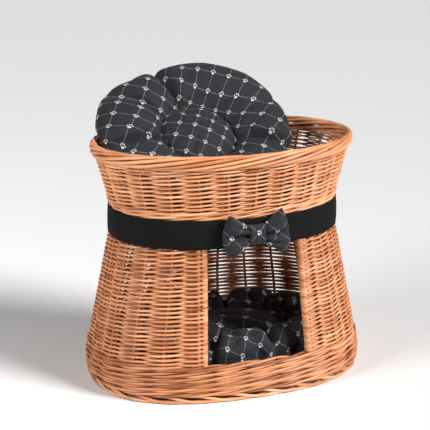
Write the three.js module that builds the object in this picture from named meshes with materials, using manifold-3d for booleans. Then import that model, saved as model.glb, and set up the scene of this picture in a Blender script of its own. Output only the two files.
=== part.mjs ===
// Two-storey wicker pet basket: a woven den with a doorway, a sleeping bed on top of it,
// a cloth band with a bow round the waist and a loose cushion on each floor.
// Millimetres, +Z up, the doorway faces -Y. The origin is on the ground under the middle.
import * as THREE from 'three';
import * as BufferGeometryUtils from 'three/addons/utils/BufferGeometryUtils.js';
import Module from 'manifold-3d';

const wasm = await Module();
wasm.setup();

// ---- driving dimensions -------------------------------------------------------------

const gap = 0.3;              // clearance between pieces that touch
const roundSteps = 60;        // facets round the oval
const wallThickness = 12;     // stakes with a weaver on each side
const borderWidth = 16;       // rolled rod borders at the foot and the rim
const bandThickness = 1.8;    // folded cotton of the waist band

const footTop = 14;           // heights of the storeys
const sillTop = 76;
const waistLow = 301;
const waistHigh = 356;
const waleLow = 450;
const borderLow = 464;
const rimTop = 480;
const denFloorLow = 4;
const bedFloorLow = 314;
const floorThickness = 11;

// outer outline of the basket: half length, half width and squareness at each height
const outline = [
  { z: 0, length: 277, width: 196.5, power: 2.4 },
  { z: 45, length: 281.5, width: 200, power: 2.4 },
  { z: 76, length: 276, width: 196.5, power: 2.4 },
  { z: 180, length: 257, width: 184, power: 2.3 },
  { z: 301, length: 232.5, width: 169, power: 2.2 },
  { z: 356, length: 231, width: 167.5, power: 2.15 },
  { z: 464, length: 264, width: 185, power: 2.0 },
  { z: 465, length: 269, width: 187.5, power: 2.0 },
  { z: 480, length: 269, width: 187.5, power: 2.0 },
];

const stakeCount = 24;
const stakeRadius = 3;
const stakeInset = 1.5;       // stake centre line, outwards from the inner wall face
const stickRadius = 2.5;      // frame sticks of the two floors

const doorHalfLow = 108;      // half the doorway's width at the sill and under the band
const doorHalfHigh = 97;
const postRodRadius = 4.6;
const postEndClearance = 1;

const bow = { bottom: 328, back: -172, depth: 22, wingReach: 68, wingHalf: 41, rootHalf: 15, knotHalf: 16 };
const bedCushion = { radius: 203, thickness: 100, tilt: 35, x: -44, y: 31, z: 469 };
const denCushion = { length: 236, width: 160, thickness: 106, low: denFloorLow + floorThickness + gap };

// ---- materials ------------------------------------------------------------------------

function finish(color, roughness) {
  return new THREE.MeshStandardMaterial({ color, roughness, metalness: 0 });
}
const willow = () => finish(0xe0a070, 0.55);
const willowCore = () => finish(0xc98a58, 0.6);
const bandCotton = () => finish(0x17171a, 0.85);
const printCotton = () => finish(0x2a2a30, 0.8);

const basket = new THREE.Group();
basket.name = 'wicker_pet_basket';

function addPiece(name, geometry, material) {
  const mesh = new THREE.Mesh(geometry, material);
  mesh.name = name;
  basket.add(mesh);
  return mesh;
}

// ---- outline helpers --------------------------------------------------------------------

function outlineAt(z) {
  const last = outline.length - 1;
  let i = 0;
  while (i < last - 1 && z > outline[i + 1].z) i += 1;
  const low = outline[i];
  const high = outline[i + 1];
  const t = THREE.MathUtils.clamp((z - low.z) / (high.z - low.z), 0, 1);
  const mix = (key) => THREE.MathUtils.lerp(low[key], high[key], t);
  return { length: mix('length'), width: mix('width'), power: mix('power') };
}

// a point of the oval at height z, pulled inwards by inset
function ovalPoint(angle, z, inset) {
  const { length, width, power } = outlineAt(z);
  const bend = (v) => Math.sign(v) * Math.abs(v) ** (2 / power);
  const x = (length - inset) * bend(Math.cos(angle));
  const y = (width - inset) * bend(Math.sin(angle));
  return new THREE.Vector3(x, y, z);
}

// heights between low and high where the outline has a corner, both ends included
function heightsBetween(low, high) {
  const inner = outline.map((station) => station.z).filter((z) => z > low + 1 && z < high - 1);
  return [low, ...inner, high];
}

// a lathe profile whose x is the inset from the outline and whose y is the height,
// turned and then pressed from a circle into the basket's oval
function ovalRing(profile) {
  const reach = 1000;
  const points = profile.map(([inset, z]) => new THREE.Vector2(reach - inset, z));
  points.push(points[0].clone());
  const geometry = new THREE.LatheGeometry(points, roundSteps);
  const position = geometry.attributes.position;
  for (let i = 0; i < position.count; i += 1) {
    const radius = Math.hypot(position.getX(i), position.getZ(i));
    const angle = Math.atan2(position.getX(i), position.getZ(i));
    const point = ovalPoint(angle, position.getY(i), reach - radius);
    position.setXYZ(i, point.x, point.y, point.z);
  }
  return geometry;
}

// a ring of constant thickness that follows the outline from low to high
function ringBetween(low, high, outerInset, thickness) {
  const heights = heightsBetween(low, high);
  const outer = heights.map((z) => [outerInset, z]);
  const inner = heights.map((z) => [outerInset + thickness, z]);
  return ovalRing([...inner.reverse(), ...outer]);
}

// a plate that fills the oval, with its edge at the given inset
function ovalPlate(low, high, inset) {
  const profile = [
    new THREE.Vector2(0, low),
    new THREE.Vector2(1, low),
    new THREE.Vector2(1, high),
    new THREE.Vector2(0, high),
  ];
  const geometry = new THREE.LatheGeometry(profile, roundSteps);
  const position = geometry.attributes.position;
  for (let i = 0; i < position.count; i += 1) {
    const radius = Math.hypot(position.getX(i), position.getZ(i));
    const angle = Math.atan2(position.getX(i), position.getZ(i));
    const z = position.getY(i);
    const edge = ovalPoint(angle, z, inset);
    position.setXYZ(i, edge.x * radius, edge.y * radius, z);
  }
  return geometry;
}

// ---- booleans ---------------------------------------------------------------------------

function toSolid(geometry) {
  const bare = geometry.index ? geometry.toNonIndexed() : geometry.clone();
  bare.deleteAttribute('normal');
  bare.deleteAttribute('uv');
  const merged = BufferGeometryUtils.mergeVertices(bare, 1e-4);
  const index = [];
  const source = merged.index.array;
  for (let i = 0; i < source.length; i += 3) {
    const [a, b, c] = [source[i], source[i + 1], source[i + 2]];
    if (a !== b && b !== c && c !== a) index.push(a, b, c);
  }
  const mesh = new wasm.Mesh({
    numProp: 3,
    vertProperties: new Float32Array(merged.attributes.position.array),
    triVerts: new Uint32Array(index),
  });
  return new wasm.Manifold(mesh);
}

function toGeometry(solid) {
  const mesh = solid.getMesh();
  const geometry = new THREE.BufferGeometry();
  geometry.setAttribute('position', new THREE.BufferAttribute(mesh.vertProperties, mesh.numProp));
  geometry.setIndex(new THREE.BufferAttribute(mesh.triVerts, 1));
  return geometry;
}

function cut(geometry, tools) {
  return toGeometry(tools.reduce((solid, tool) => solid.subtract(toSolid(tool)), toSolid(geometry)));
}

function keepInside(geometry, room) {
  return toGeometry(toSolid(geometry).intersect(toSolid(room)));
}

// ---- rods -------------------------------------------------------------------------------

// a route whose steps fall exactly on its points
class RodRoute extends THREE.Curve {
  constructor(points) {
    super();
    this.points = points;
  }

  getPoint(t, target = new THREE.Vector3()) {
    const spans = this.points.length - 1;
    const i = Math.min(Math.floor(t * spans + 1e-9), spans - 1);
    return target.lerpVectors(this.points[i], this.points[i + 1], t * spans - i);
  }

  getPointAt(u, target) {
    return this.getPoint(u, target);
  }

  getTangentAt(u, target) {
    return this.getTangent(u, target);
  }
}

function rod(points, radius, sides) {
  const corners = Array.from({ length: sides }, (_, i) => {
    const angle = (2 * Math.PI * i) / sides;
    return new THREE.Vector2(radius * Math.cos(angle), radius * Math.sin(angle));
  });
  const options = { extrudePath: new RodRoute(points), steps: points.length - 1 };
  return new THREE.ExtrudeGeometry(new THREE.Shape(corners), options);
}

// the same route made longer at both ends
function lengthened(points, extra) {
  const first = points[0].clone().sub(points[1]).setLength(extra).add(points[0]);
  const end = points[points.length - 1];
  const last = end.clone().sub(points[points.length - 2]).setLength(extra).add(end);
  return [first, ...points.slice(1, -1), last];
}

// ---- floors: a woven plate with frame sticks let into both faces --------------------------

function addFloor(prefix, low, inset) {
  const high = low + floorThickness;
  const { length, width } = outlineAt(low);
  const edge = inset + 9;
  const sticks = [];
  [-1, 1].forEach((side, i) => {
    const y = side * width * 0.27;
    const half = (length - edge) * 0.9;
    const z = low + stickRadius - gap;
    const line = [new THREE.Vector3(-half, y, z), new THREE.Vector3(half, y, z)];
    sticks.push({ name: `${prefix}_long_stick_${i + 1}`, line });
  });
  [-0.6, -0.2, 0.2, 0.6].forEach((share, i) => {
    const x = share * length;
    const half = (width - edge) * (Math.abs(share) > 0.5 ? 0.72 : 0.93);
    const z = high - stickRadius + gap;
    const line = [new THREE.Vector3(x, -half, z), new THREE.Vector3(x, half, z)];
    sticks.push({ name: `${prefix}_cross_stick_${i + 1}`, line });
  });
  const grooves = sticks.map(({ line }) => rod(lengthened(line, gap), stickRadius + gap, 8));
  addPiece(`${prefix}_floor`, cut(ovalPlate(low, high, inset), grooves), willow());
  sticks.forEach(({ name, line }) => addPiece(name, rod(line, stickRadius, 8), willowCore()));
}

// ---- stakes: the upright rods that the whole basket is woven on ----------------------------

// the point a given share of the way round the oval at height z, measured along its edge
function pointAtShare(share, z, inset) {
  const samples = 360;
  const at = (i) => ovalPoint((2 * Math.PI * i) / samples - Math.PI / 2, z, inset);
  const lengths = [0];
  for (let i = 1; i <= samples; i += 1) lengths.push(lengths[i - 1] + at(i).distanceTo(at(i - 1)));
  const wanted = share * lengths[samples];
  const i = lengths.findIndex((length) => length >= wanted);
  const part = (wanted - lengths[i - 1]) / (lengths[i] - lengths[i - 1]);
  return at(i - 1).lerp(at(i), part);
}

// one stake stands at the front middle, and is the last
function makeStake(k) {
  const share = (k + 1) / stakeCount;
  const inset = wallThickness - stakeInset;
  const foot = pointAtShare(share, sillTop, inset);
  const inDoorway = foot.y < 0 && Math.abs(foot.x) < doorHalfLow + 4 * postRodRadius;
  const heights = heightsBetween(inDoorway ? waistLow + 1 : footTop + 2, borderLow - 2);
  const points = heights.map((z) => pointAtShare(share, z, inset));
  return {
    name: `stake_${String(k + 1).padStart(2, '0')}`,
    body: rod(points, stakeRadius, 6),
    groove: rod(lengthened(points, gap), stakeRadius + gap, 6),
  };
}

const stakes = Array.from({ length: stakeCount }, (_, k) => makeStake(k));
const stakeGrooves = stakes.map((stake) => stake.groove);

// ---- doorway ------------------------------------------------------------------------------

function doorHalf(z) {
  return THREE.MathUtils.mapLinear(z, sillTop, waistLow, doorHalfLow, doorHalfHigh);
}

function doorwayCut() {
  const clear = 4 * postRodRadius + 2 * gap;
  const [low, high] = [sillTop - 5, waistLow + 5];
  const shape = new THREE.Shape([
    new THREE.Vector2(-doorHalf(low) - clear, low),
    new THREE.Vector2(doorHalf(low) + clear, low),
    new THREE.Vector2(doorHalf(high) + clear, high),
    new THREE.Vector2(-doorHalf(high) - clear, high),
  ]);
  const geometry = new THREE.ExtrudeGeometry(shape, { depth: 150, bevelEnabled: false });
  return geometry.rotateX(Math.PI / 2).translate(0, -100, 0);
}

// one upright rod of a door post: side is -1 or 1, row 0 is at the opening
function postRod(side, row) {
  const heights = heightsBetween(sillTop + postEndClearance, waistLow - postEndClearance);
  const points = heights.map((z) => {
    const x = doorHalf(z) + postRodRadius + row * (2 * postRodRadius + gap);
    const { length, width, power } = outlineAt(z);
    const inset = wallThickness / 2;
    const share = Math.abs(x / (length - inset)) ** power;
    return new THREE.Vector3(side * x, -(width - inset) * (1 - share) ** (1 / power), z);
  });
  return rod(points, postRodRadius, 8);
}

// ---- basket -------------------------------------------------------------------------------

addPiece('foot_border', ringBetween(0, footTop - gap, 0, borderWidth), willow());
addFloor('den', denFloorLow, borderWidth + gap);
addPiece('sill_wale', cut(ringBetween(footTop, sillTop - gap, 0, wallThickness), stakeGrooves), willow());
addPiece('den_wall', cut(ringBetween(sillTop, waistLow - gap, 0, wallThickness),
  [...stakeGrooves, doorwayCut()]), willow());
[[-1, 'left'], [1, 'right']].forEach(([side, word]) => {
  [0, 1].forEach((row) => addPiece(`door_post_${word}_${row + 1}`, postRod(side, row), willowCore()));
});
addPiece('waist_wale', cut(ringBetween(waistLow, waistHigh - gap, bandThickness + gap,
  wallThickness - bandThickness - gap), stakeGrooves), willow());
addFloor('bed', bedFloorLow, wallThickness + stakeRadius - stakeInset + 2 * gap);
addPiece('bed_wall', cut(ringBetween(waistHigh, waleLow - gap, 0, wallThickness), stakeGrooves), willow());
addPiece('rim_wale', cut(ringBetween(waleLow, borderLow - gap, 0, wallThickness), stakeGrooves), willow());
addPiece('rim_border', ringBetween(borderLow + 1, rimTop, 0, borderWidth), willow());
stakes.forEach((stake) => addPiece(stake.name, stake.body, willowCore()));

// ---- waist band and bow --------------------------------------------------------------------

addPiece('waist_band', ringBetween(waistLow + 0.5, waistHigh, 0, bandThickness), bandCotton());

function bowWing(side) {
  const { wingReach, wingHalf, rootHalf, knotHalf, depth } = bow;
  const root = knotHalf + gap;
  const shape = new THREE.Shape();
  shape.moveTo(root, -rootHalf);
  shape.quadraticCurveTo(root + 14, -rootHalf - 2, wingReach, -wingHalf);
  shape.quadraticCurveTo(wingReach - 5, 0, wingReach, wingHalf);
  shape.quadraticCurveTo(root + 14, rootHalf + 2, root, rootHalf);
  const bevel = 4;
  const options = { depth: depth - 2 * bevel, bevelSize: bevel, bevelOffset: -bevel,
    bevelThickness: bevel, bevelSegments: 1, curveSegments: 5 };
  const geometry = new THREE.ExtrudeGeometry(shape, options);
  geometry.rotateX(Math.PI / 2).translate(0, bow.back - bevel, bow.bottom);
  return side > 0 ? geometry : geometry.rotateZ(Math.PI).translate(0, 2 * bow.back - depth, 0);
}

function bowKnot() {
  const { knotHalf, depth, back, bottom } = bow;
  const shape = new THREE.Shape();
  const high = 20;
  shape.moveTo(-knotHalf, -high + 5);
  shape.quadraticCurveTo(0, -high - 3, knotHalf, -high + 5);
  shape.lineTo(knotHalf, high - 5);
  shape.quadraticCurveTo(0, high + 3, -knotHalf, high - 5);
  const bevel = 4;
  const options = { depth: depth + 4 - 2 * bevel, bevelSize: bevel, bevelOffset: -bevel,
    bevelThickness: bevel, bevelSegments: 1, curveSegments: 6 };
  const geometry = new THREE.ExtrudeGeometry(shape, options);
  return geometry.rotateX(Math.PI / 2).translate(0, back - bevel + 1, bottom);
}

addPiece('bow_left_wing', bowWing(-1), printCotton());
addPiece('bow_right_wing', bowWing(1), printCotton());
addPiece('bow_knot', bowKnot(), printCotton());

// ---- cushions ------------------------------------------------------------------------------

// a puffy round pad of radius 1, thickness 2 and a rounded edge, centred on the origin
function pillow() {
  const points = [new THREE.Vector2(0, -0.8)];
  const steps = 8;
  for (let i = 0; i <= steps; i += 1) {
    const angle = -Math.PI / 2 + (Math.PI * i) / steps;
    points.push(new THREE.Vector2(0.7 + 0.3 * Math.cos(angle), Math.sin(angle)));
  }
  points.push(new THREE.Vector2(0, 0.8));
  return new THREE.LatheGeometry(points, 36).rotateX(Math.PI / 2);
}

// the free space of a storey, a little inside the walls, open upwards above openAt
function cavity(low, high, openAt) {
  const inset = wallThickness + 3;
  const heights = heightsBetween(low, Math.min(high, openAt));
  const outer = heights.map((z) => {
    const { length, width } = outlineAt(Math.min(z, borderLow - 1));
    return { z, length: length - inset, width: width - inset };
  });
  const profile = [new THREE.Vector2(0, low), ...outer.map(({ z }) => new THREE.Vector2(1, z))];
  const sizes = [outer[0], ...outer];
  if (high > openAt) {
    const open = { length: outline[2].length, width: outline[2].width - 1 };
    sizes.push({ ...open, z: openAt + 2 }, { ...open, z: high });
    profile.push(new THREE.Vector2(1, openAt + 2), new THREE.Vector2(1, high));
  }
  profile.push(new THREE.Vector2(0, sizes[sizes.length - 1].z));
  const geometry = new THREE.LatheGeometry(profile, roundSteps);
  const position = geometry.attributes.position;
  for (let i = 0; i < position.count; i += 1) {
    const radius = Math.hypot(position.getX(i), position.getZ(i));
    const angle = Math.atan2(position.getX(i), position.getZ(i));
    const z = position.getY(i);
    const size = sizes.find((entry) => Math.abs(entry.z - z) < 0.01);
    position.setXYZ(i, size.length * radius * Math.cos(angle), size.width * radius * Math.sin(angle), z);
  }
  return geometry;
}

function bedCushionBody() {
  const { radius, thickness, tilt, x, y, z } = bedCushion;
  const pad = pillow().scale(radius, radius, thickness / 2);
  pad.rotateX(THREE.MathUtils.degToRad(tilt)).translate(x, y, z);
  return keepInside(pad, cavity(bedFloorLow + floorThickness + 1, 700, rimTop));
}

function denCushionBody() {
  const { length, width, thickness, low } = denCushion;
  return pillow().scale(length, width, thickness / 2).translate(0, 0, low + thickness / 2);
}

addPiece('bed_cushion', bedCushionBody(), printCotton());
addPiece('den_cushion', denCushionBody(), printCotton());

export default basket;
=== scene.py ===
# Two-storey wicker pet basket: woven willow, cloth band with a bow, two tufted cushions.
# Metres, +Z up, the doorway faces -Y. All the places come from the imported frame.
import math
import bmesh
import bpy
import numpy as np
from mathutils import Matrix, Vector


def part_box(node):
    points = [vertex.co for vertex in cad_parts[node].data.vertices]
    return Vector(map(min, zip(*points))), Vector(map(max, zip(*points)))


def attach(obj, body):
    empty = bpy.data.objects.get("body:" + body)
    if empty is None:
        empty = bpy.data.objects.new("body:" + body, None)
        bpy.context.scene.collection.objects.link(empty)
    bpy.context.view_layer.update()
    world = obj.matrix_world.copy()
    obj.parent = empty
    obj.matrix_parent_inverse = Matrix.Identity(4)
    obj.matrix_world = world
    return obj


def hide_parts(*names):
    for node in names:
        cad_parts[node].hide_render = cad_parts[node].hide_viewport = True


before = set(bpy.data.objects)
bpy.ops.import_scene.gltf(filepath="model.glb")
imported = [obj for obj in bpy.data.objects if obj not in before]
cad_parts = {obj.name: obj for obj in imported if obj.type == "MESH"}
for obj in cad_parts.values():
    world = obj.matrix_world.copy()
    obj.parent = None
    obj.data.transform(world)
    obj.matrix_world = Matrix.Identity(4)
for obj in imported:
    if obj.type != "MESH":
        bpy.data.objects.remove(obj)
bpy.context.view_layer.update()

scene = bpy.context.scene
scene.view_settings.view_transform = "Standard"
chance = np.random.default_rng(11)
mm = 0.001


def meshOf(form, name):
    mesh = bpy.data.meshes.new(name)
    form.to_mesh(mesh)
    form.free()
    return mesh


def turnFlat(flat, degrees):
    turn = math.radians(degrees)
    return flat @ np.array([[math.cos(turn), math.sin(turn)], [-math.sin(turn), math.cos(turn)]])


# camera, lights and floor

studio = {
    "eye": (-1.0456, -2.6080, 1.0969),
    "target": (-0.0072, 0.0245, 0.3129),
    "lens": 121.3,
    "sensor": 36,
    "floorSize": 60,
    "floorColour": (0.86, 0.86, 0.86, 1),
    "skyStrength": 0.05,
    "sunStrength": 4.7,
    "sunSoftness": 24,
    "sunAim": (-0.74, 0.80, -0.70),
    "fillPlace": (-2.5, -0.75, 1.9),
    "fillPower": 62,
    "fillSize": 1.4,
    "aimHigh": 0.3,
}


def setCamera():
    data = bpy.data.cameras.new("camera")
    data.lens = studio["lens"]
    data.sensor_width = studio["sensor"]
    data.clip_end = 100
    camera = bpy.data.objects.new("camera", data)
    eye = Vector(studio["eye"])
    aim = (Vector(studio["target"]) - eye).to_track_quat("-Z", "Y")
    camera.matrix_world = Matrix.Translation(eye) @ aim.to_matrix().to_4x4()
    scene.collection.objects.link(camera)
    scene.camera = camera


def sunLight():
    data = bpy.data.lights.new("sunLight", "SUN")
    data.energy = studio["sunStrength"]
    data.angle = math.radians(studio["sunSoftness"])
    lamp = bpy.data.objects.new("sunLight", data)
    aim = Vector(studio["sunAim"]).to_track_quat("-Z", "Y")
    lamp.matrix_world = Matrix.Translation((1, -2, 2.5)) @ aim.to_matrix().to_4x4()
    scene.collection.objects.link(lamp)


def fillLight():
    data = bpy.data.lights.new("fillLight", "AREA")
    data.energy = studio["fillPower"]
    data.shape = "DISK"
    data.size = studio["fillSize"]
    lamp = bpy.data.objects.new("fillLight", data)
    place = Vector(studio["fillPlace"])
    aim = (Vector((0, 0, studio["aimHigh"])) - place).to_track_quat("-Z", "Y")
    lamp.matrix_world = Matrix.Translation(place) @ aim.to_matrix().to_4x4()
    scene.collection.objects.link(lamp)


def setStudio():
    world = bpy.data.worlds.new("studio")
    world.use_nodes = True
    sky = world.node_tree.nodes["Background"]
    sky.inputs["Color"].default_value = (1, 1, 1, 1)
    sky.inputs["Strength"].default_value = studio["skyStrength"]
    scene.world = world
    sunLight()
    fillLight()
    form = bmesh.new()
    bmesh.ops.create_grid(form, x_segments=1, y_segments=1, size=studio["floorSize"] / 2)
    mesh = meshOf(form, "floor")
    floor = bpy.data.objects.new("floor", mesh)
    floor.location.z = -0.0005
    scene.collection.objects.link(floor)
    paint = bpy.data.materials.new("floorPaint")
    paint.use_nodes = True
    shader = paint.node_tree.nodes["Principled BSDF"]
    shader.inputs["Base Color"].default_value = studio["floorColour"]
    shader.inputs["Roughness"].default_value = 0.9
    mesh.materials.append(paint)


setCamera()
setStudio()
print("studio set")


# materials

def nodeMaker(material):
    tree = material.node_tree

    def make(kind, values=None, **settings):
        node = tree.nodes.new(kind)
        for key, value in settings.items():
            setattr(node, key, value)
        for key, value in (values or {}).items():
            if isinstance(value, bpy.types.NodeSocket):
                tree.links.new(value, node.inputs[key])
            else:
                node.inputs[key].default_value = value
        return node

    return make


def newMaterial(name, roughness):
    material = bpy.data.materials.new(name)
    material.use_nodes = True
    shader = material.node_tree.nodes["Principled BSDF"]
    shader.inputs["Roughness"].default_value = roughness
    return material, nodeMaker(material), shader


def colourRamp(node, stops):
    ramp = node.color_ramp
    while len(ramp.elements) < len(stops):
        ramp.elements.new(0.5)
    for element, (place, colour) in zip(ramp.elements, stops):
        element.position = place
        element.color = (*colour, 1)


def mixColours(make, factor, first, second):
    # a mix node has several sockets of each name, so its factor and colours are set by place
    colours = [value if isinstance(value, bpy.types.NodeSocket) else (*value, 1) for value in (first, second)]
    return make("ShaderNodeMix", {0: factor, 6: colours[0], 7: colours[1]}, data_type="RGBA").outputs[2]


willowLook = {
    "stops": [(0.0, (0.21, 0.065, 0.022)), (0.3, (0.45, 0.165, 0.066)),
              (0.62, (0.66, 0.275, 0.120)), (1.0, (0.82, 0.44, 0.235))],
    "gloss": (0.28, 0.50),      # roughness between the streaks and on them
    "grainScale": 55,
    "mottleScale": 38,
    "streaks": 0.42,
    "mottles": 0.5,
    "bump": 0.35,
}


def willowMaterial():
    # steamed willow: each rod has its own tone, with bark streaks along it
    material, make, shader = newMaterial("steamedWillow", willowLook["gloss"][0])
    link = material.node_tree.links.new
    tone = make("ShaderNodeAttribute", attribute_name="rodTone")
    place = make("ShaderNodeAttribute", attribute_name="rodPlace")
    stretch = make("ShaderNodeVectorMath", {0: place.outputs["Vector"], 1: (1.0, 0.9, 1.0)},
                   operation="MULTIPLY")
    streak = make("ShaderNodeTexNoise", {"Vector": stretch.outputs[0],
                  "Scale": willowLook["grainScale"], "Detail": 3.0, "Roughness": 0.6})
    where = make("ShaderNodeTexCoord")
    mottle = make("ShaderNodeTexNoise", {"Vector": where.outputs["Object"],
                  "Scale": willowLook["mottleScale"], "Detail": 2.0})

    def centred(noise, size):
        # the noise runs about 0.5, so half the size is taken off
        return make("ShaderNodeMath", {0: noise.outputs["Fac"], 1: size, 2: -size / 2},
                    operation="MULTIPLY_ADD").outputs[0]

    both = make("ShaderNodeMath", {0: centred(streak, willowLook["streaks"]),
                1: centred(mottle, willowLook["mottles"])}, operation="ADD")
    mixed = make("ShaderNodeMath", {0: tone.outputs["Fac"], 1: both.outputs[0]}, operation="ADD",
                 use_clamp=True)
    colour = make("ShaderNodeValToRGB", {"Fac": mixed.outputs[0]})
    colourRamp(colour, willowLook["stops"])
    link(colour.outputs["Color"], shader.inputs["Base Color"])
    rough = make("ShaderNodeMapRange", {"Value": streak.outputs["Fac"],
                 "To Min": willowLook["gloss"][0], "To Max": willowLook["gloss"][1]})
    link(rough.outputs["Result"], shader.inputs["Roughness"])
    bump = make("ShaderNodeBump", {"Height": streak.outputs["Fac"], "Strength": willowLook["bump"],
                                   "Distance": 0.0006})
    link(bump.outputs["Normal"], shader.inputs["Normal"])
    shader.inputs["Specular IOR Level"].default_value = 0.5
    return material


bandLook = {
    "colour": (0.0035, 0.0035, 0.0038),
    "light": (0.0075, 0.0072, 0.0075),
    "roughness": 0.82,
    "threadScale": 150,
    "fadeScale": 14,
}


def bandMaterial():
    # plain black cotton with a fine weave and a faint sheen
    material, make, shader = newMaterial("blackCotton", bandLook["roughness"])
    link = material.node_tree.links.new
    cloth = make("ShaderNodeUVMap", uv_map="cloth")
    threads = make("ShaderNodeTexWave", {"Vector": cloth.outputs["UV"], "Scale": bandLook["threadScale"],
                   "Distortion": 0.6, "Detail": 1.0}, bands_direction="DIAGONAL")
    where = make("ShaderNodeTexCoord")
    fade = make("ShaderNodeTexNoise", {"Vector": where.outputs["Object"], "Scale": bandLook["fadeScale"],
                "Detail": 3.0})
    link(mixColours(make, fade.outputs["Fac"], bandLook["colour"], bandLook["light"]),
         shader.inputs["Base Color"])
    bump = make("ShaderNodeBump", {"Height": threads.outputs["Fac"], "Strength": 0.25, "Distance": 0.0003})
    link(bump.outputs["Normal"], shader.inputs["Normal"])
    shader.inputs["Specular IOR Level"].default_value = 0.12
    return material


printLook = {
    "ground": (0.014, 0.0145, 0.018),
    "worn": (0.024, 0.025, 0.031),
    "dash": (0.17, 0.17, 0.185),
    "paw": (0.50, 0.485, 0.455),
    "roughness": 0.78,
    "pitch": 0.032,             # metres from paw to paw, and the rest are shares of it
    "dashHalf": 0.27,
    "dashWidth": 0.013,
    "toes": [(-0.125, 0.050), (-0.048, 0.125), (0.048, 0.125), (0.125, 0.050)],
    "toeRadius": 0.040,
    "padRadius": 0.078,
    "padDrop": -0.052,
}


def printMaterial():
    # charcoal cotton: a square grid of short pale dashes with a small paw at each crossing
    material, make, shader = newMaterial("printedCotton", printLook["roughness"])
    link = material.node_tree.links.new
    cloth = make("ShaderNodeUVMap", uv_map="cloth")
    cell = 1 / printLook["pitch"]
    scaled = make("ShaderNodeVectorMath", {0: cloth.outputs["UV"], 1: (cell, cell, 0)}, operation="MULTIPLY")
    centred = make("ShaderNodeVectorMath", {0: scaled.outputs[0], 1: (0.5, 0.5, 0)}, operation="ADD")
    wrapped = make("ShaderNodeVectorMath", {0: centred.outputs[0]}, operation="FRACTION")
    local = make("ShaderNodeVectorMath", {0: wrapped.outputs[0], 1: (0.5, 0.5, 0)}, operation="SUBTRACT")
    axes = make("ShaderNodeSeparateXYZ", {0: local.outputs[0]})

    def inside(value, edge, soft):
        # 1 where the value is under the edge, fading to 0 over a soft width
        node = make("ShaderNodeMapRange", {"Value": value, "From Min": edge - soft, "From Max": edge + soft,
                                           "To Min": 1.0, "To Max": 0.0})
        return node.outputs["Result"]

    def joined(first, second, way):
        return make("ShaderNodeMath", {0: first, 1: second}, operation=way).outputs[0]

    def size(value):
        return make("ShaderNodeMath", {0: value}, operation="ABSOLUTE").outputs[0]

    def dash(across, along):
        # the dash lies in the middle of a grid line, clear of the crossings
        fromMiddle = make("ShaderNodeMath", {0: 0.5, 1: size(along)}, operation="SUBTRACT").outputs[0]
        return joined(inside(size(across), printLook["dashWidth"], 0.008),
                      inside(fromMiddle, printLook["dashHalf"], 0.03), "MULTIPLY")

    dashes = joined(dash(axes.outputs["X"], axes.outputs["Y"]),
                    dash(axes.outputs["Y"], axes.outputs["X"]), "MAXIMUM")

    def blob(centre, radius, squash):
        offset = make("ShaderNodeVectorMath", {0: local.outputs[0], 1: (*centre, 0)}, operation="SUBTRACT")
        shaped = make("ShaderNodeVectorMath", {0: offset.outputs[0], 1: (*squash, 0)}, operation="MULTIPLY")
        length = make("ShaderNodeVectorMath", {0: shaped.outputs[0]}, operation="LENGTH")
        return inside(length.outputs["Value"], radius, 0.012)

    paw = blob((0, printLook["padDrop"]), printLook["padRadius"], (0.9, 1.15))
    for toe in printLook["toes"]:
        paw = joined(paw, blob(toe, printLook["toeRadius"], (1.15, 0.85)), "MAXIMUM")

    where = make("ShaderNodeTexCoord")
    fade = make("ShaderNodeTexNoise", {"Vector": where.outputs["Object"], "Scale": 9.0, "Detail": 4.0})
    ground = mixColours(make, fade.outputs["Fac"], printLook["ground"], printLook["worn"])
    lined = mixColours(make, dashes, ground, printLook["dash"])
    link(mixColours(make, paw, lined, printLook["paw"]), shader.inputs["Base Color"])
    warp = make("ShaderNodeTexWave", {"Vector": cloth.outputs["UV"], "Scale": 160.0, "Distortion": 0.8,
                                      "Detail": 1.0}, bands_direction="DIAGONAL")
    crease = make("ShaderNodeTexNoise", {"Vector": where.outputs["Object"], "Scale": 34.0, "Detail": 3.0})
    fine = make("ShaderNodeBump", {"Height": warp.outputs["Fac"], "Strength": 0.2, "Distance": 0.0003})
    soft = make("ShaderNodeBump", {"Height": crease.outputs["Fac"], "Strength": 0.35, "Distance": 0.003,
                                   "Normal": fine.outputs["Normal"]})
    link(soft.outputs["Normal"], shader.inputs["Normal"])
    shader.inputs["Specular IOR Level"].default_value = 0.22
    shader.inputs["Sheen Weight"].default_value = 0.06
    shader.inputs["Sheen Roughness"].default_value = 0.4
    return material


willow = willowMaterial()
blackCotton = bandMaterial()
printedCotton = printMaterial()
print("materials made")


# pieces

def finishPiece(name, mesh, material, body, nodes):
    piece = bpy.data.objects.new(name, mesh)
    scene.collection.objects.link(piece)
    mesh.materials.clear()
    mesh.materials.append(material)
    mesh.polygons.foreach_set("use_smooth", np.ones(len(mesh.polygons), dtype=bool))
    mesh.update()
    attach(piece, body)
    if nodes:
        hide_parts(*nodes)
    return piece


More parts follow.
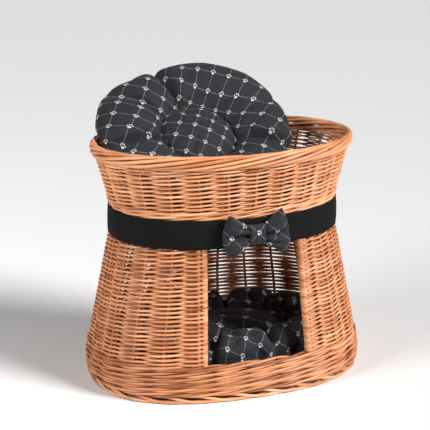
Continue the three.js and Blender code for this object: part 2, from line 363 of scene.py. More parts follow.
def bendRods(name, rods, sides=8):
    # every rod is one round bar along its path; its tone and place along the bar are kept
    curve = bpy.data.curves.new(name, "CURVE")
    curve.dimensions = "3D"
    curve.bevel_depth = 1.0
    curve.bevel_resolution = sides // 2 - 2
    curve.use_fill_caps = True
    for rod in rods:
        spline = curve.splines.new("POLY")
        count = len(rod["path"])
        spline.points.add(count - 1)
        spline.points.foreach_set("co", np.c_[rod["path"], np.ones(count)].ravel())
        spline.points.foreach_set("radius", np.broadcast_to(rod["radius"], count).astype(float).copy())
        spline.use_cyclic_u = rod.get("closed", False)
    holder = bpy.data.objects.new(name + "Line", curve)
    scene.collection.objects.link(holder)
    mesh = bpy.data.meshes.new_from_object(holder.evaluated_get(bpy.context.evaluated_depsgraph_get()))
    bpy.data.objects.remove(holder)
    bpy.data.curves.remove(curve)
    mesh.name = name
    tones, places, capTones, capPlaces = [], [], [], []
    for rod in rods:
        path = np.asarray(rod["path"])
        steps = np.linalg.norm(np.diff(path, axis=0), axis=1)
        along = np.concatenate([[0], np.cumsum(steps)])
        start = chance.uniform(0, 50)
        sway = 0.07 * np.sin(along * 9 + start)
        tone = np.repeat(rod.get("tone", chance.normal(0.58, 0.16)) + sway, sides)
        angle = np.tile(np.arange(sides) * 2 * math.pi / sides, len(path))
        far = np.repeat(along, sides) * 0.35 + start
        place = np.c_[far, 0.004 * np.cos(angle) + start, 0.004 * np.sin(angle)]
        tones.append(tone)
        places.append(place)
        if not rod.get("closed"):
            # the end caps come before every bar, the last rod's first
            capTones[:0] = [tone[-sides:], tone[:sides]]
            capPlaces[:0] = [place[-sides:], place[:sides]]
    tones = np.concatenate(capTones + tones)
    places = capPlaces + places
    if len(tones) != len(mesh.vertices):
        raise RuntimeError(f"{name}: {len(tones)} rod points for {len(mesh.vertices)} vertices")
    mesh.attributes.new("rodTone", "FLOAT", "POINT").data.foreach_set("value", tones)
    vectors = np.concatenate(places).ravel()
    mesh.attributes.new("rodPlace", "FLOAT_VECTOR", "POINT").data.foreach_set("vector", vectors)
    return mesh


# the basket's oval

stakeCount = 24


def nodeSize(node):
    low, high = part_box(node)
    return {"low": low[2], "high": high[2], "length": (high[0] - low[0]) / 2, "width": (high[1] - low[1]) / 2}


foot = nodeSize("foot_border")
sill = nodeSize("sill_wale")
denWall = nodeSize("den_wall")
band = nodeSize("waist_band")
bedWall = nodeSize("bed_wall")
rimWale = nodeSize("rim_wale")
rim = nodeSize("rim_border")
denWidth = sill["width"] * denWall["length"] / sill["length"]

# height, half length, half width, squareness
outline = np.array([
    (foot["low"], foot["length"] - 1 * mm, foot["width"] - 1 * mm, 2.4),
    ((sill["low"] + sill["high"]) / 2, sill["length"], sill["width"], 2.4),
    (denWall["low"], denWall["length"], denWidth, 2.4),
    (band["low"], band["length"], band["width"], 2.2),
    (band["high"], band["length"] - 1.5 * mm, band["width"] - 1.5 * mm, 2.15),
    (rimWale["high"], rimWale["length"], rimWale["width"], 2.0),
    (rim["high"], rimWale["length"] + 1.5 * mm, rimWale["width"] + 1.5 * mm, 2.0),
])
ringCache = {}


def ringAt(z):
    # the oval at height z, sampled evenly along its edge from the front middle towards +X
    key = round(z, 4)
    if key not in ringCache:
        length, width, power = (np.interp(key, outline[:, 0], outline[:, i]) for i in (1, 2, 3))
        angle = np.linspace(0, 2 * math.pi, 1441) - math.pi / 2
        bend = lambda v: np.sign(v) * np.abs(v) ** (2 / power)
        raw = np.c_[length * bend(np.cos(angle)), width * bend(np.sin(angle))]
        walked = np.concatenate([[0], np.cumsum(np.linalg.norm(np.diff(raw, axis=0), axis=1))])
        wanted = np.linspace(0, walked[-1], stakeCount * 20 + 1)
        x = np.interp(wanted, walked, raw[:, 0])
        y = np.interp(wanted, walked, raw[:, 1])
        dx = np.roll(x[:-1], -1) - np.roll(x[:-1], 1)
        dy = np.roll(y[:-1], -1) - np.roll(y[:-1], 1)
        size = np.hypot(dx, dy)
        out = np.c_[dy / size, -dx / size]
        out = np.vstack([out, out[:1]])
        ringCache[key] = (x, y, out, walked[-1])
    return ringCache[key]


def ringPoints(s, z, inset):
    # s counts stakes along the edge from the front middle, inset goes inwards
    s = np.asarray(s, dtype=float)
    z = np.broadcast_to(z, s.shape)
    middle = float(np.mean(z))
    x, y, out, girth = ringAt(middle)
    grid = np.linspace(0, stakeCount, len(x))
    turn = np.mod(s, stakeCount)
    slope = np.interp(z, outline[:, 0], outline[:, 1]) - np.interp(middle, outline[:, 0], outline[:, 1])
    reach = slope - inset
    ox = np.interp(turn, grid, out[:, 0])
    oy = np.interp(turn, grid, out[:, 1])
    return np.c_[np.interp(turn, grid, x) + ox * reach, np.interp(turn, grid, y) + oy * reach, z]


def girthAt(z):
    return ringAt(z)[3]


# weaving

weave = {
    "wallMiddle": 6.0 * mm,     # depth of the stakes' centre line under the outline
    "rod": 2.2 * mm,
    "bedRod": 2.05 * mm,
    "swing": 4.6 * mm,          # how far a weaver bows out round a stake
    "rise": 0.26,               # how far it climbs between stakes, as a share of the pitch
    "pitch": 8.2 * mm,
    "under": 2.0 * mm,          # how far the last rows are drawn in under the band
    "press": 0.27,              # how far the outer strand is pressed down in the back wall
    "steps": 8,                 # path points from stake to stake
    "tone": (0.68, 0.15),       # of the bed wall: its middle and its spread; the middle is set above the other walls' as painted light
}


def wander(s, seed, size):
    # a slow unevenness that closes on itself after one turn
    angle = np.asarray(s) * 2 * math.pi / stakeCount
    total = np.zeros_like(angle)
    for harmonic, share in ((2, 0.5), (5, 0.35), (9, 0.3), (17, 0.25)):
        total += share * np.sin(harmonic * angle + seed * harmonic * 1.7)
    return size * total


def zigzag(s):
    # rises evenly through every even number and falls evenly through every odd one
    return np.arcsin(np.sin(math.pi * s) * 0.995) * 2 / math.pi


def laidRods(strand, z, starts, rod, seed):
    # one turn of a strand, laid with several tapering rods that start and end behind a stake
    rods = []
    for start, end in zip(starts, starts[1:] + [starts[0] + stakeCount]):
        s = np.arange(start, end + 0.01, 1 / weave["steps"])
        s = np.concatenate([[start - 0.13], s, [end + 0.13]])
        out, lift = strand(s)
        out[:2] -= 1.5 * mm
        height = z + lift + wander(s, seed, 0.7 * mm) + wander(s, seed * 3 + 1, 0.3 * mm)
        taper = np.linspace(1.14, 0.86, len(s)) * chance.uniform(0.95, 1.06)
        radius = rod * taper * (1 + wander(s, seed * 2, 0.05))
        rods.append({"path": ringPoints(s, height, weave["wallMiddle"] - out), "radius": radius})
    return rods


def pairingRow(z, rod, rise, seed):
    # two strands that pass before and behind each stake in turn and cross between them
    rods = []
    swing = weave["swing"]
    for side in (0, 1):
        def strand(s):
            return swing * np.cos(math.pi * (s + side)), rise * zigzag(s + side)
        first = 2 * int(chance.integers(0, 6)) + 1 - side
        rods += laidRods(strand, z, [first, first + 12], rod, seed + side * 0.37)
    return rods


def waleRow(z, rod, rise, swing, seed):
    # three strands: each passes before two stakes and behind one, rising as it goes
    rods = []
    for place in range(3):
        def strand(s):
            part = np.mod((s + place + 0.5) / 3, 1.0)
            out = swing * np.clip(1.1 * (np.cos(2 * math.pi * (part - 1 / 3)) + 0.45), -1, 1)
            lift = np.where(part < 2 / 3, -np.cos(math.pi * part * 1.5), np.cos(math.pi * (part * 3 - 2)))
            return out, rise * lift
        first = 3 * int(chance.integers(0, 4)) + 2 - place
        rods += laidRods(strand, z, [first, first + 12], rod, seed + place * 0.29)
    return rods


# the doorway, from the posts
postLow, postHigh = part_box("door_post_right_1")
door = {
    "low": denWall["low"],
    "high": band["low"],
    "post": 4.6 * mm,
    "gap": 0.3 * mm,
    "below": 3 * mm,
    "above": 8 * mm,
}
door["halfLow"] = postHigh[0] - 2 * door["post"]
door["halfHigh"] = postLow[0]


def doorHalf(z):
    return np.interp(z, [door["low"], door["high"]], [door["halfLow"], door["halfHigh"]])


def doorShare(z):
    # how many stake spaces the door's edge lies from the front middle
    x, y, out, girth = ringAt(z)
    front = x[:stakeCount * 5 + 1]
    return np.interp(doorHalf(z), front, np.linspace(0, stakeCount / 4, len(front)))


def doorRow(z, side, seed):
    # a weaver that turns round the inner posts at both edges of the doorway; on its way out it
    # passes before the outer post (side 0) or slips between the two posts and behind it (side 1)
    rod = weave["rod"]
    pitch = weave["pitch"]
    perMetre = stakeCount / girthAt(z)
    edge = doorShare(z)
    wrap = door["post"] + rod - 0.4 * mm
    outerPost = edge + (3 * door["post"] + door["gap"]) * perMetre
    turn = np.linspace(-math.pi / 2, math.pi / 2, 7)
    jambT = np.concatenate([[25 * mm, 15 * mm], door["post"] - wrap * np.cos(turn), [2.05 * door["post"]]])
    through = wrap - 0.5 * mm if side == 0 else 0
    jambOut = np.concatenate([[-wrap - 1 * mm, -wrap - 1 * mm], wrap * np.sin(turn), [through]])
    jambS = edge + jambT * perMetre
    jambLift = np.full(len(jambS), (side - 0.5) * pitch / 2)
    jambLift[-1] *= 0.6
    near = np.linspace(0, 1, weave["steps"] + 1)[:-1]
    firstS = outerPost + (3 - outerPost) * near
    middleS = np.arange(3, stakeCount - 3 + 0.01, 1 / weave["steps"])
    wallS = np.concatenate([firstS, middleS, stakeCount - firstS[::-1]])
    count = np.concatenate([2 + near, middleS, stakeCount - 2 - near[::-1]])
    swing = np.interp(count, [2, 3, stakeCount - 3, stakeCount - 2],
                      [wrap, weave["swing"], weave["swing"], wrap])
    wallOut = swing * np.cos(math.pi * (count + side))
    wallLift = pitch * weave["rise"] * zigzag(count + side)
    # in the back wall the strand outside a stake is pressed down below the one inside it
    wallLift -= weave["press"] * wallOut * np.clip(-np.cos(wallS * 2 * math.pi / stakeCount) * 1.6, 0, 1)
    allS = np.concatenate([jambS, wallS, stakeCount - jambS[::-1]])
    allOut = np.concatenate([jambOut, wallOut, jambOut[::-1]])
    allLift = np.concatenate([jambLift, wallLift, -jambLift[::-1]])
    calm = np.clip((10.5 - np.abs(allS - 12)) * 1.5, 0.25, 1)
    height = z + allLift + (wander(allS, seed, 0.7 * mm) + wander(allS, seed * 3 + side, 0.3 * mm)) * calm
    taper = np.interp(np.mod((allS - chance.uniform(0, 12)) / 12, 1), [0, 0.96, 1], [1.12, 0.88, 1.12])
    radius = rod * taper * (1 + wander(allS, seed * 2 + side, 0.05))
    # the last rows are drawn in under the band
    middle = weave["wallMiddle"] + (weave["under"] if z > band["low"] - 2 * mm else 0)
    return {"path": ringPoints(allS, height, middle - allOut), "radius": radius}


def denWallRods():
    count = round((band["low"] + 4 * mm - denWall["low"]) / weave["pitch"])
    heights = denWall["low"] + (np.arange(count) + 0.5) * weave["pitch"]
    return [doorRow(z, side, row * 0.21) for row, z in enumerate(heights) for side in (0, 1)]


wale = {
    # the sill's tone middle is set below the other walls' as painted shade
    "sill": {"rows": 6, "rod": 2.65 * mm, "rise": 0.36, "swing": 5.4 * mm, "topRod": 1.12,
             "tone": (0.40, 0.18)},
    "waist": {"rows": 6, "rod": 2.3 * mm, "rise": 0.34, "swing": 3.4 * mm},
    "bed": {"rows": 2, "rod": 2.3 * mm, "rise": 3.0 * mm, "swing": 5 * mm, "pitch": 8.4 * mm,
            "start": 4 * mm},
    "rim": {"rows": 2, "rod": 2.0 * mm, "rise": 0.24},
}


def paintLightAndShadeTones(rods, tone):
    # each rod of a wall gets a tone about a set middle: painted light on the bed wall, painted shade on the
    # sill
    for rod in rods:
        rod["tone"] = chance.normal(*tone)
    return rods


def bedWallRods():
    # two rows of wale over the band, then pairing up to the rim
    rods = []
    look = wale["bed"]
    z = band["high"] + look["start"]
    for row in range(look["rows"]):
        rods += waleRow(z, look["rod"], look["rise"], look["swing"], row + 0.4)
        z += look["pitch"]
    z -= 3 * mm
    count = round((bedWall["high"] - z) / weave["pitch"])
    pitch = (bedWall["high"] - z) / count
    for row in range(count):
        rods += pairingRow(z + (row + 0.5) * pitch, weave["bedRod"], pitch * weave["rise"], row * 0.23 + 5)
    # the bed wall's lighter tone is painted light
    return paintLightAndShadeTones(rods, weave["tone"])


def sillRods():
    rods = []
    look = wale["sill"]
    pitch = (sill["high"] - sill["low"]) / look["rows"]
    for row in range(look["rows"]):
        rod = look["rod"] * (look["topRod"] if row == look["rows"] - 1 else 1)
        z = sill["low"] + (row + 0.5) * pitch
        rods += waleRow(z, rod, pitch * look["rise"], look["swing"], row * 0.31 + 2)
    # the sill's darker tone is painted shade
    return paintLightAndShadeTones(rods, look["tone"])


def waistRods():
    rods = []
    look = wale["waist"]
    low = band["low"] + 2 * mm
    pitch = (band["high"] - low) / look["rows"]
    for row in range(look["rows"]):
        rods += waleRow(low + (row + 0.5) * pitch, look["rod"], pitch * look["rise"], look["swing"], row + 7)
    return rods


def rimWaleRods():
    rods = []
    look = wale["rim"]
    pitch = (rim["low"] - rimWale["low"]) / look["rows"]
    for row in range(look["rows"]):
        z = rimWale["low"] + (row + 0.3) * pitch
        rods += pairingRow(z, look["rod"], pitch * look["rise"], row * 0.4 + 9)
    return rods


border = {
    "middle": 470 * mm,
    "halfHigh": 11.6 * mm,
    "halfWide": 6.0 * mm,
    "inset": 3.0 * mm,
    "strands": 8,
    "turns": 3,
    "rod": 3.25 * mm,
    "core": 3.6 * mm,
    "coreLifts": (-5 * mm, 4 * mm),
    # the core rods' dark tone is painted shade between the rolled strands
    "coreShadeTone": 0.3,
}


def rimRods():
    # rods rolled round and round each other along the edge, over two core rods whose darker tone is painted
    # shade between the strands
    rods = []
    s = np.arange(0, stakeCount, 1 / 6)
    for strand in range(border["strands"]):
        angle = 2 * math.pi * (s * border["turns"] / stakeCount + strand / border["strands"])
        height = border["middle"] + border["halfHigh"] * np.sin(angle) + wander(s, 1 + strand, 0.5 * mm)
        path = ringPoints(s, height, border["inset"] - border["halfWide"] * np.cos(angle))
        radius = border["rod"] * (1 + wander(s, 2 + strand, 0.1))
        rods.append({"path": path, "radius": radius, "closed": True})
    for lift in border["coreLifts"]:
        rods.append({"path": ringPoints(s, border["middle"] + lift, border["inset"]),
                     "radius": border["core"], "closed": True, "tone": border["coreShadeTone"]})
    return rods


footTail = {"rod": 3.2 * mm, "ground": 3.6 * mm, "reach": 2.4, "drop": 0.42, "inset": 6.5 * mm}


def footRods():
    # each stake's tail bends down, runs along the ground and tucks in behind the next but one
    rods = []
    top = foot["high"] + 1 * mm
    part = np.linspace(0, 1, 24)
    drop = np.clip(part / footTail["drop"], 0, 1)
    height = top + (footTail["ground"] - top) * drop * drop * (3 - 2 * drop)
    out = np.interp(part, [0, 0.12, 0.5, 0.8, 1], [0, 3.5, 4.8, 2.5, -4]) * mm
    radius = footTail["rod"] * (1 - 0.12 * part)
    for k in range(stakeCount):
        path = ringPoints(k + footTail["reach"] * part, height, footTail["inset"] - out)
        rods.append({"path": path, "radius": radius})
    return rods


stake = {"butt": 3.0 * mm, "tip": 2.5 * mm, "below": 4 * mm, "above": 6 * mm, "points": 24}


def stakeRods(k):
    low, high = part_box(f"stake_{k + 1:02d}")
    heights = np.linspace(low[2] - stake["below"], high[2] + stake["above"], stake["points"])
    points = [ringPoints([k + 1 + 0.02 * math.sin(z * 30 + k)], z, weave["wallMiddle"])[0] for z in heights]
    return [{"path": np.array(points), "radius": np.linspace(stake["butt"], stake["tip"], stake["points"])}]


def postRods(side, row):
    points = []
    for z in np.linspace(door["low"] - door["below"], door["high"] + door["above"], 12):
        apart = door["post"] * (1 + 2 * row) + row * door["gap"]
        s = doorShare(z) + apart * stakeCount / girthAt(z)
        points.append(ringPoints([s if side > 0 else stakeCount - s], z, weave["wallMiddle"])[0])
    return [{"path": np.array(points), "radius": door["post"], "tone": 0.6}]


def weavePiece(name, rods, nodes, sides=8):
    mesh = bendRods(name, rods, sides)
    return finishPiece(name, mesh, willow, "basket", nodes)


weavePiece("sillWale", sillRods(), ["sill_wale"])
weavePiece("denWallWeave", denWallRods(), ["den_wall"])
weavePiece("waistWale", waistRods(), ["waist_wale"], sides=6)
weavePiece("bedWallWeave", bedWallRods(), ["bed_wall"])
weavePiece("rimWaleRows", rimWaleRods(), ["rim_wale"])
weavePiece("rimBorder", rimRods(), ["rim_border"])
weavePiece("footBorder", footRods(), ["foot_border"])
for k in range(stakeCount):
    weavePiece(f"stake{k + 1:02d}", stakeRods(k), [f"stake_{k + 1:02d}"])
for side, word in ((-1, "left"), (1, "right")):
    for row in (0, 1):
        node = f"door_post_{word}_{row + 1}"
        weavePiece(f"doorPost{word.title()}{row + 1}", postRods(side, row), [node])
print("walls woven")


# floors

floorMat = {"pitch": 5.2 * mm, "rod": 2.1 * mm, "swing": 3.6 * mm, "edge": 2.6 * mm, "stick": 2.3 * mm,
            "stickDrop": 4 * mm, "squareness": 2.3}


def floorRods(prefix):
    # a mat of long rods, over and under the cross sticks, trimmed to the oval
    low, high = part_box(f"{prefix}_floor")
    middle = (low[2] + high[2]) / 2
    length = (high[0] - low[0]) / 2
    width = (high[1] - low[1]) / 2
    crossings = [(low[0] + high[0]) / 2 for low, high in
                 (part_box(f"{prefix}_cross_stick_{i}") for i in (1, 2))]
    gapWide = crossings[1] - crossings[0]
    rods = []
    power = floorMat["squareness"]
    count = int(width / floorMat["pitch"])
    for row in range(-count, count + 1):
        y = row * floorMat["pitch"]
        reach = length * (1 - abs(y / width) ** power) ** (1 / power) - 1 * mm
        x = np.arange(-reach, reach, 9 * mm)
        phase = math.pi * ((x - crossings[0]) / gapWide + row)
        z = middle + floorMat["swing"] * np.cos(phase)
        path = np.c_[x, y + 0.4 * mm * np.sin(x * 60 + row), z]
        rods.append({"path": path, "radius": floorMat["rod"]})
    s = np.arange(0, stakeCount, 1 / 4)
    edge = ringPoints(s, middle, 0)
    flat = edge[:, :2] * (length - 2.5 * mm) / np.max(edge[:, 0])
    rods.append({"path": np.c_[flat, np.full(len(s), middle)], "radius": floorMat["edge"], "closed": True})
    return rods


def stickRods(node, lift):
    low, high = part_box(node)
    centre = (Vector(low) + Vector(high)) / 2
    ends = [Vector(centre), Vector(centre)]
    axis = 0 if high[0] - low[0] > high[1] - low[1] else 1
    ends[0][axis], ends[1][axis] = low[axis], high[axis]
    path = np.array([ends[0].lerp(ends[1], part) for part in np.linspace(0, 1, 8)])
    path[:, 2] = lift
    return [{"path": path, "radius": floorMat["stick"]}]


for prefix in ("den", "bed"):
    weavePiece(f"{prefix}FloorMat", floorRods(prefix), [f"{prefix}_floor"])
    low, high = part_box(f"{prefix}_floor")
    middle = (low[2] + high[2]) / 2
    for kind, count in (("long", 2), ("cross", 4)):
        for i in range(count):
            node = f"{prefix}_{kind}_stick_{i + 1}"
            rods = stickRods(node, middle - (floorMat["stickDrop"] if kind == "long" else 0))
            weavePiece(f"{prefix}{kind.title()}Stick{i + 1}", rods, [node])
print("floors woven")


# cloth

def clothUv(mesh, coordinates):
    layer = mesh.uv_layers.new(name="cloth")
    corner = np.zeros(len(mesh.loops), dtype=np.int32)
    mesh.loops.foreach_get("vertex_index", corner)
    layer.data.foreach_set("uv", np.asarray(coordinates)[corner].ravel())


def readVertices(mesh):
    flat = np.zeros(len(mesh.vertices) * 3)
    mesh.vertices.foreach_get("co", flat)
    return flat.reshape(-1, 3)


bandShape = {
    "overlap": 1.0 * mm,        # past the band's CAD edges
    "stand": 2.0 * mm,
    "belly": 1.4 * mm,
    "ruffle": 0.5 * mm,
    "hem": 0.35 * mm,
    "edge": 0.7 * mm,
    "thickness": 1.6 * mm,
    "around": 288,
    "across": 12,
}


def bandPiece():
    # one strip round the neck, closed on itself at the back
    form = bmesh.new()
    bmesh.ops.create_grid(form, x_segments=bandShape["around"], y_segments=bandShape["across"], size=1)
    mesh = meshOf(form, "waistBand")
    flat = readVertices(mesh)
    s = (flat[:, 0] + 1) / 2 * stakeCount + stakeCount / 2
    part = (flat[:, 1] + 1) / 2
    low = band["low"] - bandShape["overlap"]
    high = band["high"] + bandShape["overlap"]
    ruffle = wander(s, 3, bandShape["ruffle"]) * np.sin(part * 3)
    ruffle += wander(s * 3, 8, bandShape["hem"]) * (1 - part)
    bulge = bandShape["belly"] * (1 - np.abs(2 * part - 1) ** 2.5) + bandShape["stand"]
    z = low + part * (high - low) + wander(s, 5, bandShape["edge"]) * (2 * part - 1)
    girth = girthAt((low + high) / 2)
    mesh.vertices.foreach_set("co", ringPoints(s, z, -bulge - ruffle).ravel())
    clothUv(mesh, np.c_[s / stakeCount * girth, part * (high - low)])
    form = bmesh.new()
    form.from_mesh(mesh)
    bmesh.ops.remove_doubles(form, verts=form.verts, dist=1e-5)
    bmesh.ops.recalc_face_normals(form, faces=form.faces)
    form.to_mesh(mesh)
    form.free()
    piece = finishPiece("waistBand", mesh, blackCotton, "basket", ["waist_band"])
    wall = piece.modifiers.new("cloth", "SOLIDIFY")
    wall.thickness = bandShape["thickness"]
    wall.offset = -1


bandPiece()


def roundBlock(name, cuts):
    # a subdivided cube whose sides stay a regular grid
    form = bmesh.new()
    bmesh.ops.create_cube(form, size=2)
    bmesh.ops.subdivide_edges(form, edges=form.edges, cuts=cuts, use_grid_fill=True)
    return meshOf(form, name)


def paddedPiece(name, mesh, body, node):
    piece = finishPiece(name, mesh, printedCotton, body, [node])
    soften = piece.modifiers.new("soften", "SUBSURF")
    soften.levels = soften.render_levels = 1


bow = {
    "shift": -5 * mm,
    "root": 16 * mm,
    "rootHalf": 16 * mm,
    "puff": 16 * mm,
    "knotHalf": 18 * mm,
    "knotHigh": 19 * mm,
    "knotDeep": 13.5 * mm,
    "knotFold": 1.1 * mm,
    "knotTurn": 45,
    # a wing's outer edge from its lower to its upper point: (across, up) from the knot's middle, in mm
    "left": {"edge": [(51, -46), (66, -16), (68, 4), (54, 42)], "turn": 45, "shift": (0.004, 0.006)},
    "right": {"edge": [(65, -44), (69, -14), (69, 8), (55, 46)], "turn": 38, "shift": (0.001, 0.003)},
}


def bowCentre():
    low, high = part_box("bow_knot")
    return Vector(((low[0] + high[0]) / 2 + bow["shift"], (low[1] + high[1]) / 2, (low[2] + high[2]) / 2))


def wingPiece(side, word):
    mesh = roundBlock(f"bow{word}", 27)
    cube = readVertices(mesh)
    u = (cube[:, 0] + 1) / 2
    v = cube[:, 2]
    face = cube[:, 1]
    look = bow[word.lower()]
    edgeX, edgeZ = np.array(look["edge"]).T * mm
    share = (v + 1) / 2
    tipX = np.interp(share, [0, 0.3, 0.55, 1], edgeX)
    tipZ = np.interp(share, [0, 0.3, 0.55, 1], edgeZ)
    grow = u ** 0.75
    x = bow["root"] + (tipX - bow["root"]) * u
    z = bow["rootHalf"] * v * (1 - grow) + tipZ * grow
    rimFade = (1 - np.abs(v) ** 8) ** 0.5 * (1 - np.clip(u - 0.88, 0, 1) ** 2 / 0.12 ** 2) ** 0.5
    # two rolls with a deep fold between them that opens towards the outer edge
    fold = 1 - 0.96 * np.exp(-(v / 0.15) ** 2) * (1 - u) ** 0.4
    fold = fold - 0.4 * np.exp(-((np.abs(v) - 0.6) / 0.13) ** 2) * (1 - u) ** 1.1
    pleats = 1 + 0.16 * np.cos(v * 17 + side) * (1 - u) ** 1.3
    rolls = 0.62 + 0.38 * np.abs(np.sin(v * math.pi * 0.92)) ** 0.7
    thick = bow["puff"] * rimFade * rolls * fold * pleats * (0.7 + 0.55 * np.sin(u * math.pi * 0.85))
    thick = thick + 0.7 * mm
    centre = bowCentre()
    y = centre[1] + 3 * mm + 4 * mm * np.clip(u - 0.2, 0, 1) + face * thick * np.where(face < 0, 1.0, 0.45)
    points = np.c_[centre[0] + side * x, y, centre[2] + z]
    mesh.vertices.foreach_set("co", points.ravel())
    clothUv(mesh, turnFlat(np.c_[x * side, z], look["turn"]) + look["shift"])
    form = bmesh.new()
    form.from_mesh(mesh)
    bmesh.ops.recalc_face_normals(form, faces=form.faces)
    form.to_mesh(mesh)
    form.free()
    paddedPiece(f"bow{word}", mesh, "basket", f"bow_{word.lower()}_wing")


def knotPiece():
    mesh = roundBlock("bowKnot", 15)
    cube = readVertices(mesh)
    centre = bowCentre()
    x = cube[:, 0] * bow["knotHalf"] * (0.90 + 0.14 * np.abs(cube[:, 2]) ** 2)
    z = cube[:, 2] * bow["knotHigh"] * (1 - 0.05 * np.cos(cube[:, 0] * 3))
    roundness = (1 - 0.55 * np.abs(cube[:, 2]) ** 3) * (1 - 0.35 * np.abs(cube[:, 0]) ** 4)
    folds = bow["knotFold"] * np.cos(cube[:, 0] * 8 + 0.6) * (1 - np.abs(cube[:, 2]) * 0.3)
    y = centre[1] + cube[:, 1] * bow["knotDeep"] * roundness - folds * (cube[:, 1] < 0)
    points = np.c_[centre[0] + x, y, centre[2] + z]
    mesh.vertices.foreach_set("co", points.ravel())
    clothUv(mesh, turnFlat(np.c_[x, z + cube[:, 1] * 6 * mm], bow["knotTurn"]))
    paddedPiece("bowKnot", mesh, "basket", "bow_knot")


wingPiece(-1, "Left")
wingPiece(1, "Right")
knotPiece()
print("band and bow made")


# cushions

# a tuck is its angle and depth; a swell is an angle with the reach and the puff of the bolster there
bedPad = {
    "name": "bedCushion",
    "node": "bed_cushion",
    "radius": (0.196, 0.196),
    "half": 0.041,
    "disc": 0.39,
    "dome": 0.46,
    "tuckWide": 0.085,
    "tilt": 35,
    "centre": (-0.044, 0.031, 0.469),
    "tucks": [(103, 0.7), (140, 0.35), (186, 1.0), (243, 0.9), (296, 0.9), (345, 1.0), (20, 0.1)],
    "swells": [(20, 1.07, 1.08), (45, 1.11, 1.08), (70, 1.06, 1.03), (88, 0.99, 0.96), (103, 0.97, 0.96),
               (122, 0.97, 0.98), (140, 1.02, 1.02), (162, 1.01, 1.0), (186, 1.0, 1.0), (345, 0.97, 1.0)],
    "turn": 31,
    "shift": (0.0123, 0.0042),
}
denPad = {
    "name": "denCushion",
    "node": "den_cushion",
    "radius": (0.228, 0.158),
    "half": 0.046,
    "disc": 0.62,
    "dome": 0.12,
    "tuckWide": 0.058,
    "tilt": 0,
    "centre": (0, 0, 0.0685),
    "tucks": [(5, 0.9), (38, 0.9), (73, 0.9), (108, 0.9), (143, 0.9), (178, 0.9), (213, 0.9), (248, 1.0),
              (285, 1.0), (321, 0.9)],
    "swells": [(0, 1.0, 1.0), (180, 1.0, 1.0)],
    "turn": 30,
    "shift": (0.0, 0.0),
}


padShape = {
    "split": 0.38,              # where the middle disc ends, as a share of the way to the edge
    "groove": 0.30,
    "pinch": 0.85,
    "notch": 0.07,
}


def cushionForm(pad):
    # a sphere pressed into a round pad: a middle disc, a groove, and a bolster cut by tucks
    form = bmesh.new()
    bmesh.ops.create_uvsphere(form, u_segments=160, v_segments=90, radius=1)
    mesh = meshOf(form, pad["name"])
    ball = readVertices(mesh)
    azimuth = np.arctan2(ball[:, 1], ball[:, 0])
    polar = np.arccos(np.clip(np.abs(ball[:, 2]), 0, 1)) / (math.pi / 2)
    upper = np.where(ball[:, 2] < 0, -1.0, 1.0)
    disc = pad["disc"]
    split = padShape["split"]
    groove = padShape["groove"]
    discPart = np.clip(polar / split, 0, 1)
    swell = np.clip((polar - split) / (1 - split), 0, 1) * math.pi
    radius = np.where(polar < split, disc * discPart,
                      (1 + disc) / 2 - (1 - disc) / 2 * np.cos(swell))
    discHigh = groove + pad["dome"] * np.clip(1 - discPart ** 3, 0, 1) ** 0.6
    bolster = np.where(swell < math.pi / 2, groove + (1 - groove) * np.sin(swell), np.sin(swell))
    high = np.where(polar < split, discHigh, bolster)
    pinch = np.ones(len(ball))
    for angle, depth in pad["tucks"]:
        apart = np.angle(np.exp(1j * (azimuth - math.radians(angle))))
        pinch *= 1 - depth * padShape["pinch"] * np.exp(-(apart / pad["tuckWide"]) ** 2)
    onBolster = np.clip((polar - split * 0.9) / (split * 0.25), 0, 1)
    shrink = 1 - onBolster * (1 - pinch)
    high = groove * 0.5 + (high - groove * 0.5) * shrink
    rimward = np.clip((radius - disc) / (1 - disc), 0, 1)
    radius = radius * (1 - padShape["notch"] * (1 - pinch) * rimward ** 2)
    angles, reaches, puffs = np.array(pad["swells"]).T
    turn = np.degrees(azimuth)
    radius = radius * (1 + (np.interp(turn, angles, reaches, period=360) - 1) * rimward)
    high = high * (1 + (np.interp(turn, angles, puffs, period=360) - 1) * onBolster)
    points = np.c_[pad["radius"][0] * radius * np.cos(azimuth),
                   pad["radius"][1] * radius * np.sin(azimuth),
                   pad["half"] * high * upper]
    mesh.vertices.foreach_set("co", points.ravel())
    # the print runs flat over each face, by distance from its middle
    arc = polar * (pad["radius"][0] + pad["half"] * 0.55)
    shape = np.c_[arc * np.cos(azimuth), arc * np.sin(azimuth) * pad["radius"][1] / pad["radius"][0]]
    clothUv(mesh, turnFlat(shape, pad["turn"]) + pad["shift"])
    held = (1 - pinch) * onBolster
    ring = np.exp(-((polar - split) / 0.03) ** 2)
    return mesh, np.clip(np.maximum(held * 1.6 - 0.4, ring - 0.05), 0, 1)


stuffing = {
    "frames": 20,
    "quality": 6,
    "mass": 0.25,
    "stretch": 12,
    "shear": 4,
    "bend": 0.25,
    "pressure": 3.5,
    "shrink": -0.06,
    "farthest": 16 * mm,
}


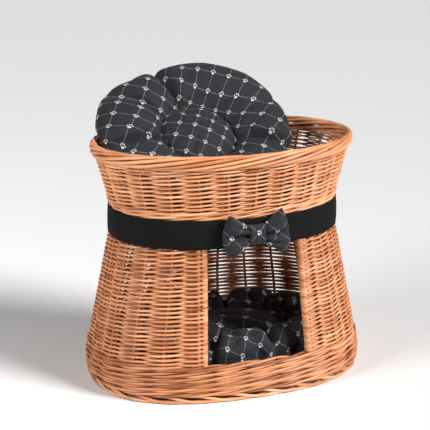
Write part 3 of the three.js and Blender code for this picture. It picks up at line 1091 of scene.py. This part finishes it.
def inflate(piece, hold):
    group = piece.vertex_groups.new(name="tucks")
    for index in np.nonzero(hold > 0.02)[0]:
        group.add([int(index)], float(hold[index]), "REPLACE")
    cloth = piece.modifiers.new("fill", "CLOTH")
    settings = cloth.settings
    settings.quality = stuffing["quality"]
    settings.mass = stuffing["mass"]
    settings.tension_stiffness = stuffing["stretch"]
    settings.compression_stiffness = stuffing["stretch"]
    settings.shear_stiffness = stuffing["shear"]
    settings.bending_stiffness = stuffing["bend"]
    settings.use_pressure = True
    settings.uniform_pressure_force = stuffing["pressure"]
    settings.shrink_min = stuffing["shrink"]
    settings.vertex_group_mass = "tucks"
    settings.effector_weights.gravity = 0
    cloth.point_cache.frame_start = 1
    cloth.point_cache.frame_end = stuffing["frames"]
    for step in range(1, stuffing["frames"] + 1):
        scene.frame_set(step)
    shaped = piece.evaluated_get(bpy.context.evaluated_depsgraph_get()).to_mesh()
    points = readVertices(shaped)
    piece.modifiers.remove(cloth)
    piece.vertex_groups.remove(group)
    scene.frame_set(1)
    return points


def keepInBed(points):
    # below the rim the pad stays inside the woven wall, and it rests on the shelf
    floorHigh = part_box("bed_floor")[1][2]
    room = 15 * mm
    z = points[:, 2]
    length = np.interp(z, outline[:, 0], outline[:, 1]) - room
    width = np.interp(z, outline[:, 0], outline[:, 2]) - room
    reach = np.hypot(points[:, 0] / length, points[:, 1] / width)
    inside = z < rim["high"] + 9 * mm
    squeeze = np.where(inside & (reach > 1), 1 / reach, 1)
    points[:, 0] *= squeeze
    points[:, 1] *= squeeze
    points[:, 2] = np.maximum(z, floorHigh + 2 * mm)
    return points


def cushionPiece(pad):
    mesh, hold = cushionForm(pad)
    start = readVertices(mesh)
    piece = bpy.data.objects.new(pad["name"] + "Form", mesh)
    scene.collection.objects.link(piece)
    points = start
    move = inflate(piece, hold) - start
    far = np.linalg.norm(move, axis=1)
    move *= np.minimum(1, stuffing["farthest"] / np.maximum(far, 1e-9))[:, None]
    points = start + move
    # the seam round the edge is drawn in a little
    edge = np.abs(points[:, 2]) < 0.5 * mm
    points[edge, :2] *= 1 - 1.5 * mm / np.linalg.norm(points[edge, :2], axis=1)[:, None]
    scene.collection.objects.unlink(piece)
    bpy.data.objects.remove(piece)
    tilt = math.radians(pad["tilt"])
    x, y, z = points.T
    turned = np.c_[x, y * math.cos(tilt) - z * math.sin(tilt), y * math.sin(tilt) + z * math.cos(tilt)]
    turned += np.array(pad["centre"])
    if pad["tilt"]:
        turned = keepInBed(turned)
    else:
        turned[:, 2] = np.maximum(turned[:, 2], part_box("den_cushion")[0][2] + 1 * mm)
    mesh.vertices.foreach_set("co", turned.ravel())
    mesh.update()
    paddedPiece(pad["name"], mesh, pad["node"], pad["node"])


cushionPiece(bedPad)
cushionPiece(denPad)
print("cushions made")
